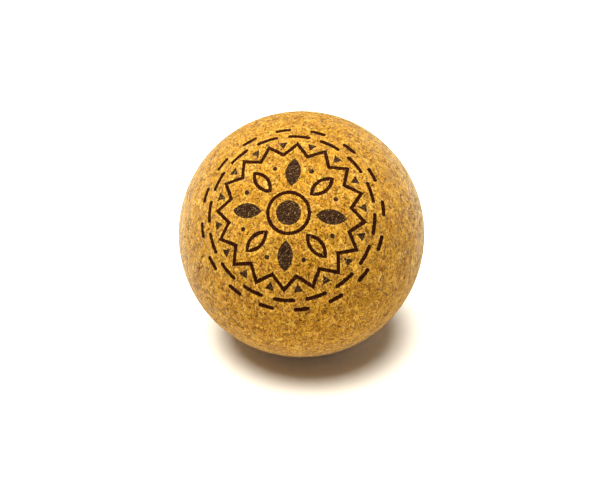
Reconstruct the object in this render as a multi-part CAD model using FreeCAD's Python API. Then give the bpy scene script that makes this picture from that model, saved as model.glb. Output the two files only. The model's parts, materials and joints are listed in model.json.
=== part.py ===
"""Cork massage ball: a solid sphere of agglomerated cork with a laser-burnt ornament.

The ball is ground cork pressed with a film of binder, then sanded round. The fine granules and their
binder are one body. The large granules that the sanding has cut through are separate solids, each
seated in a socket of its own shape. The ornament is a set of shallow grooves whose floors are char.

Frame: millimetres, +Z up, origin at the ball's centre. The ornament faces -Y and is tilted up.
"""

import FreeCAD
import Part

import math
import os
import random

# Driving dimensions.
BALL_R = 32.5  # a 65 mm ball
ORNAMENT_TILT = 43.0  # degrees that the ornament's axis stands above the horizontal
MOTIF_R = 23.5  # outer edge of the ornament, measured square to its axis
STROKE = 0.9  # width of a burnt line
BURN_DEPTH = 0.4  # from the ball's surface to the bottom of the char
RECESS = 0.12  # from the ball's surface down to the top of the char

# Large granules.
SITES = 640  # places tried, spread evenly over the ball
SITE_JITTER = 0.3  # of the distance between two places
GRANULE_R = (0.75, 1.45)  # half the width of a granule at the surface
GRANULE_STRETCH = (1.0, 1.6)  # length over width
GRANULE_DEPTH = (1.0, 2.0)
GRANULE_TAPER = 0.6  # width at the bottom over width at the surface
GRANULE_CORNERS = (5, 6, 7)
CORNER_REACH = (0.8, 1.0)  # of the granule's half width and half length
CORNER_SHIFT = 0.25  # most that a corner is turned from its even place, as a share of their spacing
GRANULE_GAP = 0.35  # least cork left between two granules, or a granule and a burnt line
POLE_KEEP_OUT = 4.0  # degrees round each pole of the sphere's surface, left free of sockets
SEED = 7

# The ball's outer surface is made of patches, because one face with hundreds of sockets is slow to read.
LUNES = 12  # between planes through the X axis
BANDS_AT = (-0.72, -0.28, 0.28, 0.72)  # planes square to the X axis, as shares of BALL_R

TONES = {  # share of the large granules in each tone
    "pale_granules": 0.26,
    "golden_granules": 0.30,
    "russet_granules": 0.26,
    "bark_granules": 0.18,
}

# The ornament, outwards from its centre. Distances are shares of MOTIF_R; angles are in degrees.
DISC_R = 0.13
RING_R = 0.215
PETALS = 8  # filled and outlined petals take turns
PETAL_BASE, PETAL_TIP, PETAL_HALF_WIDTH = 0.285, 0.60, 0.08
DOT_AT, DOT_R = 0.505, 0.024
POINTS = 16  # of the zigzag, with as many triangles and dashes
ZIGZAG_VALLEY, ZIGZAG_PEAK = 0.645, 0.775
TRIANGLE_TIP, TRIANGLE_BASE, TRIANGLE_HALF_BASE = 0.715, 0.80, 0.05
INNER_DASH_AT, INNER_DASH_HALF_ANGLE = 0.875, 6.5
OUTER_DASH_AT, OUTER_DASH_HALF_ANGLE = 0.965, 4.0

OUT = "parts"
UP = FreeCAD.Vector(0, 0, 1)
ORIGIN = FreeCAD.Vector(0, 0, 0)
TO_BALL = FreeCAD.Rotation(FreeCAD.Vector(1, 0, 0), 90.0 - ORNAMENT_TILT)
PRISM_FROM = 0.5 * BALL_R  # the ornament's prisms run from well inside the ball
PRISM_TO = BALL_R + 1.0  # to outside it
PROUD = 0.4  # a chip stands this far out of the ball before it is sanded flush


def ball(radius):
    """A sphere with its poles on the X axis and its seam opposite the ornament."""
    shape = Part.makeSphere(radius)
    pole = FreeCAD.Vector(1, 0, 0)
    seam = TO_BALL.multVec(-UP)
    turn = FreeCAD.Rotation(seam, pole.cross(seam), pole, "ZXY")
    shape.Placement = FreeCAD.Placement(ORIGIN, turn)
    return shape


def in_patches(solid):
    """The same one-faced solid, with its surface divided by the planes of LUNES and BANDS_AT."""
    side = 3 * BALL_R  # wide enough for a plane to cut right through the ball
    sheet = Part.makePlane(side, side, FreeCAD.Vector(-side / 2, -side / 2, 0))
    sheets = []
    for i in range(LUNES // 2):
        tilt = FreeCAD.Rotation(FreeCAD.Vector(1, 0, 0), 360.0 * (i + 0.5) / LUNES)
        sheets.append(sheet.transformed(FreeCAD.Placement(ORIGIN, tilt).toMatrix()))
    upright = FreeCAD.Rotation(FreeCAD.Vector(0, 1, 0), 90)
    for share in BANDS_AT:
        place = FreeCAD.Placement(FreeCAD.Vector(share * BALL_R, 0, 0), upright)
        sheets.append(sheet.transformed(place.toMatrix()))
    patches = solid.Faces[0].generalFuse(sheets)[1][0]
    return Part.Solid(Part.Shell(patches))


def at(radius, degrees):
    """A point of the ornament's plane, by distance and by angle clockwise from its top."""
    turn = math.radians(degrees)
    return FreeCAD.Vector(radius * math.sin(turn), radius * math.cos(turn), 0)


def turns(count, offset=0.0):
    """Evenly spaced angles round the ornament, in degrees."""
    return [offset + 360.0 * i / count for i in range(count)]


def polygon(points):
    return Part.Face(Part.makePolygon(points + [points[0]]))


def disc(radius, centre=ORIGIN):
    return Part.Face(Part.Wire(Part.makeCircle(radius, centre)))


def ring(radius):
    return disc(radius + STROKE / 2).cut(disc(radius - STROKE / 2))


def arc(start, middle, end):
    return Part.Arc(start, middle, end).toShape()


def petal(turn, inset=0.0):
    """A leaf between two arcs, pointing outwards at the angle turn, drawn in by inset."""
    base, tip = MOTIF_R * PETAL_BASE, MOTIF_R * PETAL_TIP
    half_length, half_width = (tip - base) / 2, MOTIF_R * PETAL_HALF_WIDTH
    side_r = (half_length**2 + half_width**2) / (2 * half_width)
    offset = side_r - half_width  # from the leaf's long axis to each side's centre
    side_r -= inset
    half_length = math.sqrt(side_r**2 - offset**2)
    along = at(1, turn)
    across = at(side_r - offset, turn + 90)
    centre = along * ((base + tip) / 2)
    start, end = centre - along * half_length, centre + along * half_length
    sides = [arc(start, centre + across, end), arc(end, centre - across, start)]
    return Part.Face(Part.Wire(sides))


def petal_outline(turn):
    return petal(turn).cut(petal(turn, inset=STROKE))


def dash(radius, middle, half_angle):
    """A curved burnt line about the ornament's axis, with round ends."""
    first, last = middle - half_angle, middle + half_angle
    inner, outer = radius - STROKE / 2, radius + STROKE / 2
    cap = math.degrees(STROKE / 2 / radius)
    outline = [
        arc(at(outer, first), at(outer, middle), at(outer, last)),
        arc(at(outer, last), at(radius, last + cap), at(inner, last)),
        arc(at(inner, last), at(inner, middle), at(inner, first)),
        arc(at(inner, first), at(radius, first - cap), at(outer, first)),
    ]
    return Part.Face(Part.Wire(outline))


def zigzag(points, peak, valley):
    """A zigzag line closed into a ring, with mitred corners."""
    half_turn = math.pi / points
    edge = math.hypot(peak - valley * math.cos(half_turn), valley * math.sin(half_turn))
    clearance = peak * valley * math.sin(half_turn) / edge  # from the axis to an edge's line
    shift = STROKE / 2 / clearance  # an offset outline is the same outline, scaled

    def outline(scale):
        corners = []
        for i, turn in enumerate(turns(2 * points)):
            corners.append(at((peak, valley)[i % 2] * scale, turn))
        return polygon(corners)

    return outline(1 + shift).cut(outline(1 - shift))


def triangle(turn):
    """A small triangle that points inwards at the angle turn."""
    base = MOTIF_R * TRIANGLE_BASE
    spread = math.degrees(math.atan2(TRIANGLE_HALF_BASE, TRIANGLE_BASE))
    return polygon([at(MOTIF_R * TRIANGLE_TIP, turn), at(base, turn - spread), at(base, turn + spread)])


def motif_shapes():
    """The flat shapes of the ornament, by node name."""
    petals = turns(PETALS)
    between_petals = turns(PETALS, 180.0 / PETALS)
    peaks = turns(POINTS)
    valleys = turns(POINTS, 180.0 / POINTS)
    inner, outer = MOTIF_R * INNER_DASH_AT, MOTIF_R * OUTER_DASH_AT
    return {
        "burnt_centre_disc": [disc(MOTIF_R * DISC_R)],
        "burnt_inner_ring": [ring(MOTIF_R * RING_R)],
        "burnt_filled_petals": [petal(turn) for turn in petals[0::2]],
        "burnt_petal_outlines": [petal_outline(turn) for turn in petals[1::2]],
        "burnt_dots": [disc(MOTIF_R * DOT_R, at(MOTIF_R * DOT_AT, turn)) for turn in between_petals],
        "burnt_zigzag": [zigzag(POINTS, MOTIF_R * ZIGZAG_PEAK, MOTIF_R * ZIGZAG_VALLEY)],
        "burnt_triangles": [triangle(turn) for turn in valleys],
        "burnt_inner_dashes": [dash(inner, turn, INNER_DASH_HALF_ANGLE) for turn in peaks],
        "burnt_outer_dashes": [dash(outer, turn, OUTER_DASH_HALF_ANGLE) for turn in valleys],
    }


def prism(flat):
    """A flat shape of the ornament carried through the ball's surface along the ornament's axis."""
    face = flat.copy()
    face.translate(UP * PRISM_FROM)
    shape = face.extrude(UP * (PRISM_TO - PRISM_FROM))
    shape.Placement = FreeCAD.Placement(ORIGIN, TO_BALL).multiply(shape.Placement)
    return shape


def chip(rng, direction):
    """An angular granule whose axis lies along direction, tapering inwards, and its reach."""
    width = rng.uniform(*GRANULE_R)
    length = width * rng.uniform(*GRANULE_STRETCH)
    depth = rng.uniform(*GRANULE_DEPTH)
    corners = rng.choice(GRANULE_CORNERS)
    first = rng.uniform(0, 360)
    outline = []
    for i in range(corners):
        turn = math.radians(first + 360.0 * (i + rng.uniform(-CORNER_SHIFT, CORNER_SHIFT)) / corners)
        reach = rng.uniform(*CORNER_REACH)
        outline.append((length * reach * math.cos(turn), width * reach * math.sin(turn)))
    place = FreeCAD.Placement(ORIGIN, FreeCAD.Rotation(UP, direction))
    spin = FreeCAD.Rotation(UP, rng.uniform(0, 360))

    def level(height, scale):
        points = [FreeCAD.Vector(x * scale, y * scale, height) for x, y in outline]
        return [place.multVec(spin.multVec(point)) for point in points]

    top, bottom = level(BALL_R + PROUD, 1.0), level(BALL_R - depth, GRANULE_TAPER)
    faces = [polygon(top), polygon(bottom)]
    for i in range(corners):
        j = (i + 1) % corners
        faces.append(polygon([top[i], top[j], bottom[j], bottom[i]]))
    return Part.Solid(Part.Shell(faces)), length


def sites(rng):
    """Directions spread evenly over the ball on a spiral, each moved a little."""
    golden_turn = math.pi * (3 - math.sqrt(5))
    jitter = SITE_JITTER * math.sqrt(4 * math.pi / SITES)
    found = []
    for i in range(SITES):
        height = 1 - (2 * i + 1) / SITES
        across = math.sqrt(1 - height * height)
        spot = FreeCAD.Vector(
            across * math.cos(i * golden_turn) + rng.uniform(-jitter, jitter),
            across * math.sin(i * golden_turn) + rng.uniform(-jitter, jitter),
            height + rng.uniform(-jitter, jitter),
        )
        found.append(spot.normalize())
    rng.shuffle(found)
    return found


def meets_ornament(spot, reach, ornament):
    """Whether a granule at the direction spot comes too near a burnt line."""
    flat_spot = TO_BALL.inverted().multVec(spot * BALL_R)
    if flat_spot.z < 0 or math.hypot(flat_spot.x, flat_spot.y) > MOTIF_R + reach + GRANULE_GAP:
        return False
    flat_spot.z = 0
    return Part.Vertex(flat_spot).distToShape(ornament)[0] < reach + GRANULE_GAP


def granules(motif):
    """Chips clear of each other, of the ornament and of the poles of the sphere's surface."""
    rng = random.Random(SEED)
    ornament = Part.makeCompound([flat for flats in motif.values() for flat in flats])
    taken, chips = [], []
    for spot in sites(rng):
        shape, reach = chip(rng, spot)
        near_pole = abs(spot.x) > math.cos(math.radians(POLE_KEEP_OUT))
        crowded = any((spot - other).Length * BALL_R < reach + far + GRANULE_GAP for other, far in taken)
        if near_pole or crowded or meets_ornament(spot, reach, ornament):
            continue
        taken.append((spot, reach))
        chips.append(shape)
    return chips


def shared_out(chips):
    """The chips split between the tones, by each tone's share."""
    groups, start, share = {}, 0, 0.0
    for tone, part in TONES.items():
        share += part
        end = round(share * len(chips))
        groups[tone] = chips[start:end]
        start = end
    return groups


def export(name, shapes):
    shape = shapes[0] if len(shapes) == 1 else Part.makeCompound(shapes)
    if not shape.isValid():
        raise ValueError(f"{name} isn't valid")
    shape.exportStep(os.path.join(OUT, name + ".step"))
    print(f"{name}: {len(shape.Solids)} solids, {shape.Volume:.2f} mm3")


def main():
    os.makedirs(OUT, exist_ok=True)
    whole, char_top, char_floor = ball(BALL_R), ball(BALL_R - RECESS), ball(BALL_R - BURN_DEPTH)
    patched = in_patches(whole)
    motif = motif_shapes()
    grooves = []
    for name, flats in motif.items():
        char = []
        for flat in flats:
            solid = prism(flat)
            char += solid.common(char_top).cut(char_floor).Solids
            grooves += solid.cut(char_floor).Solids
        export(name, char)
    chips = granules(motif)
    for name, group in shared_out(chips).items():
        export(name, [solid for shape in group for solid in shape.common(whole).Solids])
    export("cork_body", patched.cut(grooves + chips).Solids)


main()
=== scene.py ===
"""Looks for the cork massage ball: granules, pits and burnt lines as geometry, with node materials."""

import json
import math

import bmesh
import bpy
import numpy as np
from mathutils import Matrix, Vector
from mathutils.bvhtree import BVHTree
from mathutils.geometry import delaunay_2d_cdt
from mathutils.kdtree import KDTree


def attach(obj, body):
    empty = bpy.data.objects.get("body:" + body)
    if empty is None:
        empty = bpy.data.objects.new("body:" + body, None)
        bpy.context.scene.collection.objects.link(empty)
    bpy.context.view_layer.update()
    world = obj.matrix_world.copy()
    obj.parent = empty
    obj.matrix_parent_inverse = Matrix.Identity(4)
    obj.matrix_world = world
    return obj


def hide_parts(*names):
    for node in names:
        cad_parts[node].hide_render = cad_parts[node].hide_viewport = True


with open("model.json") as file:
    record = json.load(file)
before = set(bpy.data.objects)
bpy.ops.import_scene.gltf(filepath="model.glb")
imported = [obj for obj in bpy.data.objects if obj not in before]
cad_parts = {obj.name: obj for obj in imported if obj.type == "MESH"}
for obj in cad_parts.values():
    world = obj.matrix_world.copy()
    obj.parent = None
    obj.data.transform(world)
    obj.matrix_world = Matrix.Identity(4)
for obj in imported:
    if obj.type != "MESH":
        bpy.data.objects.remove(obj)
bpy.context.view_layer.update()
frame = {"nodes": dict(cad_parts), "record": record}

MM = 0.001
CONTACT = frame["record"]["mounts"][0]["pos_m"]
BALL_R = -CONTACT[2]
SKIN = 0.03 * MM  # how far the highest granule stays below the CAD ball
rng = np.random.default_rng(11)

BODY = "cork_body"
GRANULES = ["pale_granules", "golden_granules", "russet_granules", "bark_granules"]
BURNT_LINES = [
    "burnt_inner_ring", "burnt_petal_outlines", "burnt_zigzag", "burnt_inner_dashes", "burnt_outer_dashes",
]
BURNT_FILLS = ["burnt_centre_disc", "burnt_filled_petals", "burnt_triangles", "burnt_dots"]
BURNT = BURNT_LINES + BURNT_FILLS
REGIONS = [BODY] + GRANULES + BURNT  # a cell's region is an index in this list

# The surface is a mosaic of small cells, and a granule is one or more cells.
CELLS = 21500
CELL_JITTER = 0.32  # of the spacing
OUTLINE_STEP = 0.29 * MM  # spacing of the cells along a burnt outline
OUTLINE_SIDE = 0.10 * MM  # their distance from it
OUTLINE_WOBBLE = 0.025 * MM
OUTLINE_CLEAR = 0.24 * MM  # other cells stay this far from them
GRAINS = 8600  # fine granules over the whole ball
HALO_TONE = 1.0  # of the cork just outside a burnt line, which the heat leaves paler

# Relief, below the ball's surface.
GRAIN_STEP = 0.035 * MM  # most that one granule stands below another
SEAM_DEPTH = (0.015 * MM, 0.05 * MM)  # between most granules
CREVICE_DEPTH = (0.08 * MM, 0.16 * MM)  # between a few
CREVICE_SHARE = 0.18
PIT_DEPTH = (0.10 * MM, 0.30 * MM)
PIT_SHARE = 0.055  # of the cells
CHAR_TOP = 0.12 * MM
CHAR_ROUGH = 0.035 * MM
CHAR_FLOOR = 0.40 * MM
SOCKET_FLOOR = 1.2 * MM

# Painted shade in the hollows, from 0 to 1: how much the granule joins, pits, crevices and the walls and
# floors below the surface are darkened.
SEAM_SHADE = 0.42
HOLLOW_SHADE = (0.75, 1.0)  # of pits and crevices
UNDER_SHADE = 0.8  # of walls and floors below the surface
PAIR_PRIMES = (7919, 104729)  # they turn the numbers of two granules into a random share


def unit(vectors):
    return vectors / np.linalg.norm(vectors, axis=-1, keepdims=True)


# ---- The CAD nodes, read as outlines and as footprints ----


def outline_loops(node):
    """The closed outlines of a burnt node's outer faces, with the char on the left seen from outside."""
    mesh = bmesh.new()
    mesh.from_mesh(frame["nodes"][node].data)
    bmesh.ops.remove_doubles(mesh, verts=mesh.verts, dist=1e-7)
    for face in mesh.faces:
        face.tag = face.normal.dot(face.calc_center_median().normalized()) > 0.9
    follow = {}
    for face in mesh.faces:
        for loop in face.loops:
            if face.tag and not loop.link_loop_radial_next.face.tag:
                follow[loop.vert] = loop.link_loop_next.vert
    loops = []
    while follow:
        start, vert = follow.popitem()
        points = [start.co.copy()]
        while vert is not start:
            points.append(vert.co.copy())
            vert = follow.pop(vert)
        loops.append(unit(np.array(points)))
    mesh.free()
    return loops


def even_samples(loop):
    """Points spaced evenly along a closed outline, with the direction along it."""
    ends = np.vstack([loop, loop[:1]])
    lengths = np.linalg.norm(np.diff(ends, axis=0), axis=1) * BALL_R
    travelled = np.concatenate([[0.0], np.cumsum(lengths)])
    count = max(6, round(travelled[-1] / OUTLINE_STEP))
    stops = (np.arange(count) + 0.5) * travelled[-1] / count
    points = np.stack([np.interp(stops, travelled, ends[:, k]) for k in range(3)], axis=1)
    run = np.searchsorted(travelled, stops) - 1
    return unit(points), unit(np.diff(ends, axis=0)[run])


def outline_cells():
    """Cells in pairs either side of each burnt outline, so that cell edges follow it."""
    places, regions, outlines = [], [], []
    for node in BURNT:
        for loop in outline_loops(node):
            points, along = even_samples(loop)
            inwards = np.cross(points, along)
            wobble = rng.normal(0, OUTLINE_WOBBLE / BALL_R, (len(points), 1))
            points = unit(points + inwards * wobble)
            outlines.append(points)
            for side, region in ((1, REGIONS.index(node)), (-1, REGIONS.index(BODY))):
                places.append(unit(points + inwards * side * OUTLINE_SIDE / BALL_R))
                regions.append(np.full(len(points), region))
    places, regions = np.concatenate(places), np.concatenate(regions)
    clear = nearest_distance(places, np.concatenate(outlines)) > 0.8 * OUTLINE_SIDE / BALL_R
    return places[clear], regions[clear]


def tree_of(points):
    tree = KDTree(len(points))
    for i, point in enumerate(points):
        tree.insert(point, i)
    tree.balance()
    return tree


def nearest_distance(points, others):
    tree = tree_of(others)
    return np.array([tree.find(point)[2] for point in points])


def footprint_regions(places):
    """The region of each place: the CAD node that a line from outside to the centre meets first."""
    points, faces, owner = [], [], []
    for region, node in enumerate(REGIONS):
        mesh = frame["nodes"][node].data
        offset = len(points)
        points += [vert.co.copy() for vert in mesh.vertices]
        for face in mesh.polygons:
            faces.append([offset + i for i in face.vertices])
            owner.append(region)
    tree = BVHTree.FromPolygons(points, faces)
    found = []
    for place in places:
        outward = Vector(place)
        hit = tree.ray_cast(outward * (2 * BALL_R), -outward)
        found.append(owner[hit[2]])
    return np.array(found)


# ---- The mosaic of cells ----


def spread(count, jitter):
    """Directions spread evenly over the ball on a spiral, each moved at random."""
    i = np.arange(count)
    height = 1 - (2 * i + 1) / count
    across = np.sqrt(1 - height**2)
    turn = i * math.pi * (3 - math.sqrt(5))
    places = np.stack([across * np.cos(turn), across * np.sin(turn), height], axis=1)
    return unit(places + rng.normal(0, jitter * math.sqrt(4 * math.pi / count), places.shape))


def spherical_delaunay(places):
    """Triangles between places, the last of which is the pole that the others are projected from."""
    pole = places[-1]
    side = unit(np.cross(pole, [0.0, 1.0, 0.0]))
    upward = np.cross(pole, side)
    rest = places[:-1]
    scale = 1 / (1 - rest @ pole)
    flat = [Vector((x, y)) for x, y in zip(rest @ side * scale, rest @ upward * scale)]
    faces = np.array(delaunay_2d_cdt(flat, [], [], 0, 1e-9)[2])
    edges = np.concatenate([faces[:, [0, 1]], faces[:, [1, 2]], faces[:, [2, 0]]])
    known = {tuple(edge) for edge in edges}
    caps = np.array([[b, a, len(rest)] for a, b in edges if (b, a) not in known])
    triangles = np.concatenate([faces, caps])
    corners = places[triangles]
    normals = np.cross(corners[:, 1] - corners[:, 0], corners[:, 2] - corners[:, 0])
    inward = np.einsum("ij,ij->i", normals, corners[:, 0]) < 0
    triangles[inward] = triangles[inward][:, ::-1]
    return triangles


def mosaic(places, triangles):
    """Cell edges, as arrays: the cell, its neighbour, and the two corners that the edge joins."""
    cell = triangles.ravel()
    neighbour = np.roll(triangles, -1, axis=1).ravel()
    left = np.repeat(np.arange(len(triangles)), 3)
    count = len(places)
    order = np.argsort(cell * count + neighbour)
    keys = (cell * count + neighbour)[order]
    right = left[order[np.searchsorted(keys, neighbour * count + cell)]]
    return cell, neighbour, right + count, left + count


def corner_directions(places, triangles):
    """Where three cells meet: the centre of the circle through their three places."""
    a, b, c = (places[triangles[:, k]] for k in range(3))
    return unit(np.cross(b - a, c - a))


def grain_of_cells(places):
    """Which fine granule each cell belongs to. Granules are longer than wide, and lie at all angles."""
    centres = spread(GRAINS, 0.45)
    long_axis = unit(np.cross(centres, rng.normal(size=centres.shape)))
    stretch = rng.uniform(1.0, 2.6, GRAINS)
    size = rng.uniform(0.75, 1.35, GRAINS)
    tree = tree_of(centres)
    near = np.array([[found[1] for found in tree.find_n(place, 8)] for place in places])
    gap = places[:, None, :] - centres[near]
    along = np.einsum("ijk,ijk->ij", gap, long_axis[near])
    across = np.sqrt(np.maximum(np.einsum("ijk,ijk->ij", gap, gap) - along**2, 0))
    reach = np.hypot(along / stretch[near], across) / size[near]
    return near[np.arange(len(places)), reach.argmin(axis=1)]


# ---- Meshes ----


class Surface:
    """The mosaic with its relief: one shell of it for each region."""

    def __init__(self):
        on_outlines, outline_regions = outline_cells()
        self.outlined = len(on_outlines)
        free = spread(CELLS, CELL_JITTER)
        free = free[nearest_distance(free, on_outlines) > OUTLINE_CLEAR / BALL_R]
        self.places = np.concatenate([on_outlines, free])
        self.region = np.concatenate([outline_regions, footprint_regions(free)])
        triangles = spherical_delaunay(self.places)
        self.cell, self.neighbour, self.start, self.end = mosaic(self.places, triangles)
        self.corners = triangles
        self.directions = np.concatenate([self.places, corner_directions(self.places, triangles)])
        self.part_regions()
        self.shape()

    def part_regions(self):
        """Gives a granule's cell to the body wherever it touches another granule or a burnt line."""
        is_granule = np.isin(self.region, [REGIONS.index(node) for node in GRANULES])
        while True:
            mine, other = self.region[self.cell], self.region[self.neighbour]
            touching = (mine > 0) & (other > 0) & (mine != other) & is_granule[self.cell]
            if not touching.any():
                break
            self.region[self.cell[touching]] = 0
            is_granule[self.cell[touching]] = False

    def shape(self):
        """Sets each point's depth below the ball, how much painted shade darkens it, and each cell's tone.
        """
        count = len(self.places)
        grain = grain_of_cells(self.places)
        grain = np.where(self.region > 0, GRAINS + self.region, grain)
        grains = GRAINS + len(REGIONS)
        tone = np.clip(rng.normal(0.5, 0.22, grains), 0, 1)[grain]
        self.tone = np.clip(tone + rng.normal(0, 0.05, count), 0, 1)
        self.tone[: self.outlined] = HALO_TONE
        height = rng.uniform(0, GRAIN_STEP, grains)[grain]
        pits = (rng.random(count) < PIT_SHARE) & (self.region == 0)
        depth = np.where(pits, rng.uniform(*PIT_DEPTH, count), height)
        around = grain[self.corners]
        seam = (around != around[:, :1]).any(axis=1)
        # The share is the same along a whole seam, so that a crevice runs from end to end of it.
        mixed = around.min(axis=1) * PAIR_PRIMES[0] + around.max(axis=1) * PAIR_PRIMES[1]
        crevice = seam & (mixed % 1000 / 1000 < CREVICE_SHARE)
        seam_depth = rng.uniform(*SEAM_DEPTH, len(seam)) + crevice * rng.uniform(*CREVICE_DEPTH, len(seam))
        corner_depth = height[self.corners].mean(axis=1) + seam * seam_depth
        self.depth = np.concatenate([depth, corner_depth]) + SKIN
        # Painted shade: pits, crevices and granule joins are darkened in colour as well as sunk.
        shade = rng.uniform(*HOLLOW_SHADE, count) * pits
        corner_shade = np.where(crevice, rng.uniform(*HOLLOW_SHADE, len(seam)), SEAM_SHADE * seam)
        self.shade = np.concatenate([shade, corner_shade])
        rough = rng.normal(0, CHAR_ROUGH, len(self.directions)).clip(-2 * CHAR_ROUGH, 2 * CHAR_ROUGH)
        self.char_depth = CHAR_TOP + SKIN + rough

    def shell(self, name):
        """A closed mesh of one region. The body's has a floor under each inlaid granule and line."""
        region = REGIONS.index(name)
        total = len(self.directions)
        mine = self.region[self.cell] == region
        tops = np.stack([self.cell, self.start, self.end], axis=1)
        rim = mine & (self.region[self.neighbour] != region)
        walls = np.stack([self.end, self.start, self.start + total, self.end + total], axis=1)[rim]
        if region == 0:
            under = tops[~mine] + total
            under_cell = self.cell[~mine]
        else:
            under = tops[mine][:, ::-1] + total
            under_cell = self.cell[mine]
        top_depth = self.char_depth if name in BURNT else self.depth
        floor_depth = np.full(total, CHAR_FLOOR)
        in_socket = np.isin(self.region[self.cell], [REGIONS.index(node) for node in GRANULES])
        floor_depth[tops[in_socket]] = SOCKET_FLOOR
        radius = BALL_R - np.concatenate([top_depth, floor_depth])
        points = np.concatenate([self.directions, self.directions]) * radius[:, None]
        faces = [tops[mine], under, walls]
        cells = np.concatenate([self.cell[mine], under_cell, self.cell[rim]])
        used = np.unique(np.concatenate([part.ravel() for part in faces]))
        place = np.full(2 * total, -1)
        place[used] = np.arange(len(used))
        mesh = bpy.data.meshes.new(name)
        faces = [face for part in faces for face in place[part].tolist()]
        mesh.from_pydata(points[used].tolist(), [], faces)
        # Painted shade of each point, with the walls and floors below the surface darkened as well.
        shade = np.concatenate([self.shade, np.full(total, UNDER_SHADE)])[used]
        add_attribute(mesh, "shade", "POINT", shade)
        add_attribute(mesh, "tone", "FACE", self.tone[cells])
        mesh.shade_smooth()
        mesh.set_sharp_from_angle(angle=math.radians(55))
        return mesh


def add_attribute(mesh, name, domain, values):
    attribute = mesh.attributes.new(name, "FLOAT", domain)
    attribute.data.foreach_set("value", np.asarray(values, np.float32))


def place_piece(name, mesh, node, material):
    piece = bpy.data.objects.new(name, mesh)
    bpy.context.collection.objects.link(piece)
    mesh.materials.append(material)
    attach(piece, "root")
    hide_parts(node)
    return piece


# ---- Materials ----


def srgb(red, green, blue):
    """A linear colour from screen values of 0 to 255."""
    shares = [value / 255 for value in (red, green, blue)]
    return [s / 12.92 if s <= 0.04045 else ((s + 0.055) / 1.055) ** 2.4 for s in shares] + [1.0]


class Tree:
    """Shader nodes, added one by one and joined as they are added."""

    def __init__(self, node_tree):
        self.nodes = node_tree.nodes
        self.links = node_tree.links

    def add(self, kind, inputs=None, **settings):
        node = self.nodes.new(kind)
        for key, value in settings.items():
            setattr(node, key, value)
        for key, value in (inputs or {}).items():
            self.set(node.inputs[key], value)
        return node

    def set(self, socket, value):
        if isinstance(value, bpy.types.NodeSocket):
            self.links.new(value, socket)
        else:
            socket.default_value = value

    def attribute(self, name):
        return self.add("ShaderNodeAttribute", attribute_name=name).outputs["Fac"]

    def math(self, operation, a, b=0.0, clamp=False):
        node = self.add("ShaderNodeMath", {0: a, 1: b}, operation=operation, use_clamp=clamp)
        return node.outputs[0]

    def vector_math(self, operation, a, b):
        return self.add("ShaderNodeVectorMath", {0: a, 1: b}, operation=operation).outputs[0]

    def stretched(self, scale, vector):
        return self.add("ShaderNodeMapping", {"Vector": vector, "Scale": scale}).outputs[0]

    def times(self, a, b):
        return self.math("MULTIPLY", a, b)

    def bent(self, *shifts):
        """The place, moved by smooth random shifts, each given as its size and its reach, in metres."""
        place = self.place
        for size, reach in shifts:
            noise = self.add("ShaderNodeTexNoise", {"Vector": self.place, "Scale": 1 / size})
            centred = self.vector_math("SUBTRACT", noise.outputs["Color"], (0.5, 0.5, 0.5))
            shift = self.vector_math("MULTIPLY", centred, (reach, reach, reach))
            place = self.vector_math("ADD", place, shift)
        return place

    def noise(self, size, detail=2.0, rough=0.5, distortion=0.0, vector=None):
        """Noise from about 0.2 to 0.8, whose blobs are about size across, in metres."""
        inputs = {
            "Vector": vector or self.place, "Scale": 1 / size, "Detail": detail, "Roughness": rough,
            "Distortion": distortion,
        }
        return self.add("ShaderNodeTexNoise", inputs).outputs["Fac"]

    def cells(self, size, vector=None):
        """Random cells about size across, in metres: each one's own value, and how far its middle is."""
        cells = self.add("ShaderNodeTexVoronoi", {"Vector": vector or self.place, "Scale": 1 / size})
        own = self.add("ShaderNodeSeparateColor", {0: cells.outputs["Color"]})
        return own.outputs[0], cells.outputs["Distance"]

    def cell_edges(self, size, vector):
        """How far the nearest edge of the same cells is, as a share of size."""
        inputs = {"Vector": vector, "Scale": 1 / size}
        return self.add("ShaderNodeTexVoronoi", inputs, feature="DISTANCE_TO_EDGE").outputs["Distance"]

    def speck(self, spacing, share, radius):
        """1 inside small dots, 0 between them; share is the part of the places that has one."""
        own, distance = self.cells(spacing)
        return self.times(self.math("LESS_THAN", own, share), self.fade(distance, radius, 0.6 * radius))

    def fade(self, value, low, high):
        """0 at low and 1 at high, straight between them; low may be the larger."""
        node = self.add("ShaderNodeMapRange", {0: value, 1: low, 2: high, 3: 0.0, 4: 1.0})
        return node.outputs[0]

    def ramp(self, value, stops):
        node = self.add("ShaderNodeValToRGB", {0: value})
        elements = node.color_ramp.elements
        while len(elements) < len(stops):
            elements.new(0.5)
        for element, (position, colour) in zip(elements, stops):
            element.position = position
            element.color = colour
        return node.outputs[0]

    def mix(self, factor, a, b, blend="MIX"):
        node = self.add("ShaderNodeMix", {0: factor, 6: a, 7: b}, data_type="RGBA", blend_type=blend)
        return node.outputs[2]

    def blend(self, factor, a, b):
        return self.add("ShaderNodeMix", {0: factor, 2: a, 3: b}, data_type="FLOAT").outputs[0]


class Finish(Tree):
    """A material whose colour, roughness and bump come from nodes."""

    def __init__(self, name):
        self.material = bpy.data.materials.new(name)
        self.material.use_nodes = True
        super().__init__(self.material.node_tree)
        self.shader = self.nodes["Principled BSDF"]
        self.place = self.add("ShaderNodeTexCoord").outputs["Object"]

    def finish(self, colour, roughness, height, bump_depth):
        self.set(self.shader.inputs["Base Color"], colour)
        self.set(self.shader.inputs["Roughness"], roughness)
        bump = self.add("ShaderNodeBump", {"Strength": 1.0, "Distance": bump_depth, "Height": height})
        self.set(self.shader.inputs["Normal"], bump.outputs[0])
        return self.material


# Colour of the cork's dark marks, and of the painted shade in the granule joins, pits and crevices.
DARK_MARK_AND_SHADE_COLOUR = srgb(52, 20, 5)
CLOUD_COLOUR = srgb(128, 76, 20)
TAN = srgb(196, 144, 78)
PALE_STRAND = srgb(230, 194, 106)
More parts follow.
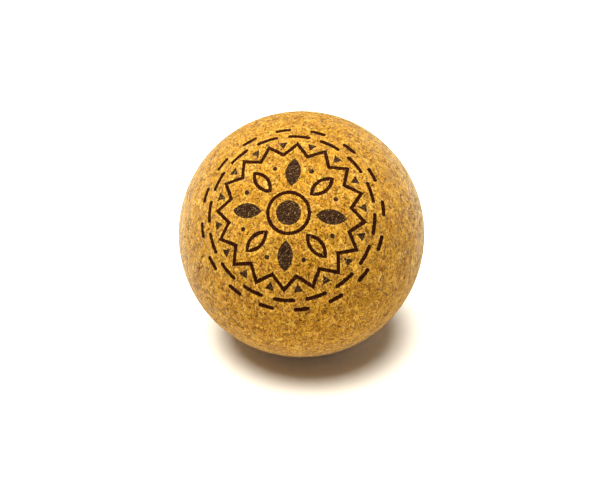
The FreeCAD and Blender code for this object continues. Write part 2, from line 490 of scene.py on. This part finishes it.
# These darken the colour that they are multiplied with.
DUST_STOPS = [(0.38, srgb(158, 134, 104)), (0.49, srgb(238, 234, 226)), (0.60, srgb(255, 255, 255))]
STRAND_STOPS = [(0.00, srgb(220, 210, 194)), (0.30, srgb(238, 234, 227)), (0.70, srgb(255, 255, 255))]


def fibre_places(tree):
    """The place, bent and pressed together along Z, so that what it draws is upright, curved and long."""
    return tree.stretched((1.0, 1.0, 0.33), tree.bent((3.0 * MM, 3.4 * MM), (1.0 * MM, 0.6 * MM)))


def strands(tree, upright):
    """Curved upright strands of about 0.75 by 2.3 mm: each one's value, and broken lines between them."""
    value = tree.cells(0.75 * MM, upright)[0]
    line = tree.fade(tree.cell_edges(0.75 * MM, upright), 0.17, 0.07)
    return value, tree.times(line, tree.fade(tree.noise(1.3 * MM), 0.48, 0.56))


def dashes(tree, tone):
    """1 in dashes of about 0.35 by 1 mm, upright in most cells and level in the rest."""
    bent = tree.bent((1.0 * MM, 0.7 * MM))
    upright = tree.cells(0.35 * MM, tree.stretched((1.0, 1.0, 0.36), bent))[0]
    level = tree.cells(0.35 * MM, tree.stretched((0.42, 0.9, 1.0), bent))[0]
    share = tree.math("FRACT", tree.times(tone, 17.0))  # as good as random, but one value in each cell
    lies_level = tree.math("GREATER_THAN", share, 0.6)
    return tree.fade(tree.blend(lies_level, upright, level), 0.10, 0.04)


def cork_material(name, stops):
    """Cork of one tone: granules told apart by colour, dull and tan patches, strands and dark marks, and
    painted shade in its hollows.
    """
    tree = Finish(name)
    tone = tree.attribute("tone")
    upright = fibre_places(tree)
    grain = tree.noise(0.5 * MM, detail=3.0, rough=0.8, vector=upright)
    colour = tree.ramp(tree.math("ADD", tree.times(tone, 0.22), tree.times(grain, 0.78)), stops)
    cloud = tree.fade(tree.noise(9 * MM), 0.50, 0.70)
    colour = tree.mix(tree.times(cloud, 0.14), colour, CLOUD_COLOUR)
    tan = tree.fade(tree.noise(2.4 * MM, detail=1.0, distortion=1.0), 0.53, 0.62)
    colour = tree.mix(tree.times(tan, 0.24), colour, TAN)
    strand, lines = strands(tree, upright)
    colour = tree.mix(1.0, colour, tree.ramp(strand, STRAND_STOPS), "MULTIPLY")
    colour = tree.mix(tree.times(tree.fade(strand, 0.84, 0.97), 0.2), colour, PALE_STRAND)
    fine = tree.noise(0.24 * MM, vector=upright)
    dust = tree.ramp(fine, DUST_STOPS)
    colour = tree.mix(1.0, colour, dust, "MULTIPLY")
    marks = tree.times(tree.speck(1.0 * MM, 0.07, 0.22), 0.8)
    marks = tree.math("MAXIMUM", marks, tree.times(lines, 0.42))
    marks = tree.math("MAXIMUM", marks, tree.times(dashes(tree, tone), 0.75))
    # Painted shade: the granule joins, pits and crevices are darkened by each point's shade value.
    painted_hollow_shade = tree.math("POWER", tree.attribute("shade"), 2.2)
    colour = tree.mix(tree.math("MAXIMUM", marks, painted_hollow_shade, clamp=True), colour, DARK_MARK_AND_SHADE_COLOUR)
    roughness = tree.fade(grain, 1.6, -0.6)
    height = tree.math("ADD", tree.math("ADD", grain, tree.times(strand, 0.6)), tree.times(fine, 1.2))
    height = tree.math("SUBTRACT", height, marks)
    tree.shader.inputs["Specular IOR Level"].default_value = 0.0
    tree.shader.inputs["Sheen Weight"].default_value = 0.38
    tree.shader.inputs["Sheen Roughness"].default_value = 0.32
    tree.shader.inputs["Sheen Tint"].default_value = (1.0, 0.94, 0.70, 1.0)
    return tree.finish(colour, roughness, height, 0.08 * MM)


def char_material(name, stops, ash_share, ash_colour):
    """Charred cork: near black, with lighter ash specks and a coarse broken surface."""
    tree = Finish(name)
    coarse = tree.noise(0.45 * MM, detail=3.0, rough=0.75)
    colour = tree.ramp(coarse, stops)
    ash = tree.math("MAXIMUM", tree.speck(0.5 * MM, ash_share, 0.34), tree.speck(0.33 * MM, ash_share, 0.34))
    colour = tree.mix(tree.times(ash, 0.75), colour, ash_colour)
    roughness = tree.fade(coarse, 1.4, -0.5)
    tree.shader.inputs["Specular IOR Level"].default_value = 0.0
    return tree.finish(colour, roughness, coarse, 0.12 * MM)


def even_stops(*colours):
    """Stops for a ramp, from noise that mostly runs from 0.25 to 0.75."""
    return [(0.25 + 0.5 * i / (len(colours) - 1), srgb(*colour)) for i, colour in enumerate(colours)]


LINE_CHAR = even_stops((18, 5, 2), (34, 13, 5), (60, 31, 14))
FILL_CHAR = even_stops((14, 6, 3), (38, 23, 13), (80, 57, 35))
FINE_CORK = even_stops((159, 108, 25), (172, 126, 34), (183, 136, 43), (190, 145, 53), (199, 162, 75))
PALE_CORK = even_stops((176, 131, 46), (192, 149, 59), (204, 168, 85))
GOLDEN_CORK = even_stops((165, 116, 22), (182, 135, 32), (197, 155, 52))
RUSSET_CORK = even_stops((146, 95, 25), (165, 115, 35), (183, 135, 50))
BARK_CORK = even_stops((134, 86, 25), (157, 108, 36), (177, 130, 50))


def materials():
    char = char_material("charred_line", LINE_CHAR, 0.14, srgb(84, 56, 36))
    fill = char_material("charred_fill", FILL_CHAR, 0.36, srgb(134, 106, 68))
    found = {
        BODY: cork_material("fine_cork", FINE_CORK),
        "pale_granules": cork_material("pale_cork", PALE_CORK),
        "golden_granules": cork_material("golden_cork", GOLDEN_CORK),
        "russet_granules": cork_material("russet_cork", RUSSET_CORK),
        "bark_granules": cork_material("bark_cork", BARK_CORK),
    }
    found.update({node: char for node in BURNT_LINES})
    found.update({node: fill for node in BURNT_FILLS})
    return found


# ---- Floor, light and camera ----

CAMERA_TURN = math.radians(7.7)  # to the right of the roundel
CAMERA_RISE = math.radians(34)
CAMERA_FAR = 0.3748
LENS = 85.0
SENSOR = 36.0
SHIFT = (-0.0025, -0.01)  # of the picture's width

FLOOR_R = 0.29  # as far as the softbox lights it white, so that its edge doesn't show
FLOOR_COLOUR = [0.97, 0.92, 0.79, 1.0]
SOFTBOX_AT = (-0.085, -0.07, 0.80)
SOFTBOX_SIZE = 0.80
SOFTBOX_WATTS = 25.4
# Brightness of the studio: white walls low down, and above them a dark tent, dim behind and at the sides.
WALLS = 1.05
WALLS_TOP = (0.115, 0.135)  # where they fade out, as the sine of the height above the horizon
TENT_BEHIND = 0.22
TENT_BESIDE = 0.25


def stage():
    bpy.ops.mesh.primitive_circle_add(vertices=128, radius=FLOOR_R, fill_type="NGON", location=CONTACT)
    floor = bpy.context.object
    floor.name = "floor"
    tree = Finish("pale_floor")
    tree.shader.inputs["Base Color"].default_value = FLOOR_COLOUR
    tree.shader.inputs["Roughness"].default_value = 0.9
    tree.shader.inputs["Specular IOR Level"].default_value = 0.1
    floor.data.materials.append(tree.material)


def softbox():
    data = bpy.data.lights.new("softbox", "AREA")
    data.shape = "DISK"
    data.size = SOFTBOX_SIZE
    data.energy = SOFTBOX_WATTS
    lamp = bpy.data.objects.new("softbox", data)
    bpy.context.collection.objects.link(lamp)
    lamp.location = SOFTBOX_AT
    lamp.rotation_euler = (-Vector(SOFTBOX_AT)).to_track_quat("-Z", "Y").to_euler()


def studio():
    world = bpy.data.worlds.new("studio")
    world.use_nodes = True
    tree = Tree(world.node_tree)
    direction = tree.add("ShaderNodeTexCoord").outputs["Generated"]
    along = tree.add("ShaderNodeSeparateXYZ", {0: direction}).outputs
    behind = tree.times(tree.math("MAXIMUM", along["Y"], 0.0), TENT_BEHIND)
    beside = tree.times(tree.math("ABSOLUTE", along["X"]), TENT_BESIDE)
    tent = tree.math("ADD", behind, beside)
    brightness = tree.blend(tree.fade(along["Z"], *WALLS_TOP), WALLS, tent)
    tree.set(tree.nodes["Background"].inputs["Strength"], brightness)
    tree.nodes["Background"].inputs["Color"].default_value = (1.0, 1.0, 1.0, 1.0)
    bpy.context.scene.world = world


def camera():
    data = bpy.data.cameras.new("camera")
    data.lens = LENS
    data.sensor_width = SENSOR
    data.clip_start = 0.01
    data.shift_x, data.shift_y = SHIFT
    eye = bpy.data.objects.new("camera", data)
    bpy.context.collection.objects.link(eye)
    across, height = CAMERA_FAR * math.cos(CAMERA_RISE), CAMERA_FAR * math.sin(CAMERA_RISE)
    eye.location = (across * math.sin(CAMERA_TURN), -across * math.cos(CAMERA_TURN), height)
    eye.rotation_euler = (math.pi / 2 - CAMERA_RISE, 0, CAMERA_TURN)
    bpy.context.scene.camera = eye
    bpy.context.scene.view_settings.view_transform = "Standard"


camera()
studio()
softbox()
stage()
surface = Surface()
finishes = materials()
for node in REGIONS:
    place_piece("visual_" + node, surface.shell(node), node, finishes[node])
